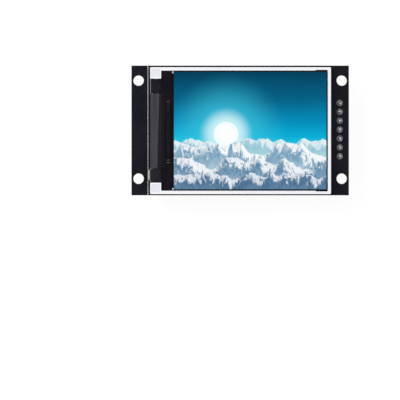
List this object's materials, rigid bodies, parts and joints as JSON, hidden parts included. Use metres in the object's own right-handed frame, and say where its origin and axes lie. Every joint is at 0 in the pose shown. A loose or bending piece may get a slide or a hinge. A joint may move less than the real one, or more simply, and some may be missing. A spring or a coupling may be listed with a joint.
{
  "type": "tft display module",
  "caption": "Small colour display on a black circuit board, with its backlight unit, folded flex circuit, corner mounting holes and a pin header soldered at one end.",
  "frame": {"origin": "centre of the four mounting holes on the circuit board's back face", "axes": "+X along the board towards the pin header, +Y towards the screen's upper edge, +Z out of the screen"},
  "size_m": [0.062, 0.037, 0.0129],
  "materials": {
    "board": "satin solder mask",
    "tinned_copper": "tinned, satin",
    "solder": "bright solder",
    "header_plastic": "moulded, satin",
    "pin_metal": "plated, bright",
    "resistor_ceramic": "dark glaze with plated ends",
    "capacitor_ceramic": "tan ceramic with plated ends",
    "moulding_compound": "moulded, dull",
    "frame_plastic": "white, satin",
    "clear_plastic": "clear, polished",
    "film": "translucent film",
    "reflector": "white mirror film",
    "black_tape": "black adhesive tape",
    "glass": "polished",
    "screen": "lit screen, satin",
    "polariser_film": "grey film",
    "chip_silicon": "dark, polished",
    "flex": "dark cover film over copper",
    "light_flex": "pale cover film",
    "lamp_body": "white moulding with pale yellow window",
    "foam": "white adhesive foam",
    "silver_paste": "dull silver paste"
  },
  "bodies": {
    "root": {"backlight_frame": "frame_plastic", "capacitor_1": "capacitor_ceramic", "capacitor_2": "capacitor_ceramic", "chip_lands": "tinned_copper", "chip_solder": "solder", "circuit_board": "board", "diffuser_sheet": "film", "diode_1": "moulding_compound", "diode_2": "moulding_compound", "diode_3": "moulding_compound", "diode_4": "moulding_compound", "diode_5": "moulding_compound", "driver_chip": "chip_silicon", "flex_circuit": "flex", "flex_lands": "tinned_copper", "flex_solder": "solder", "foam_strip_left": "foam", "foam_strip_right": "foam", "front_glass": "glass", "front_polariser": "screen", "header_body": "header_plastic", "header_lands": "tinned_copper", "header_pin_1": "pin_metal", "header_pin_2": "pin_metal", "header_pin_3": "pin_metal", "header_pin_4": "pin_metal", "header_pin_5": "pin_metal", "header_pin_6": "pin_metal", "header_pin_7": "pin_metal", "header_solder_1": "solder", "header_solder_2": "solder", "header_solder_3": "solder", "header_solder_4": "solder", "header_solder_5": "solder", "header_solder_6": "solder", "header_solder_7": "solder", "lamp_1": "lamp_body", "lamp_2": "lamp_body", "lamp_3": "lamp_body", "lamp_4": "lamp_body", "light_guide": "clear_plastic", "light_strip": "light_flex", "paste_dots": "silver_paste", "prism_sheet_lower": "film", "prism_sheet_upper": "film", "rear_glass": "glass", "rear_polariser": "polariser_film", "reflector_sheet": "reflector", "regulator_body": "moulding_compound", "regulator_leads": "tinned_copper", "resistor_1": "resistor_ceramic", "resistor_2": "resistor_ceramic", "resistor_3": "resistor_ceramic", "resistor_4": "resistor_ceramic", "resistor_5": "resistor_ceramic", "resistor_6": "resistor_ceramic", "shading_tape": "black_tape"}
  },
  "joints": []
}
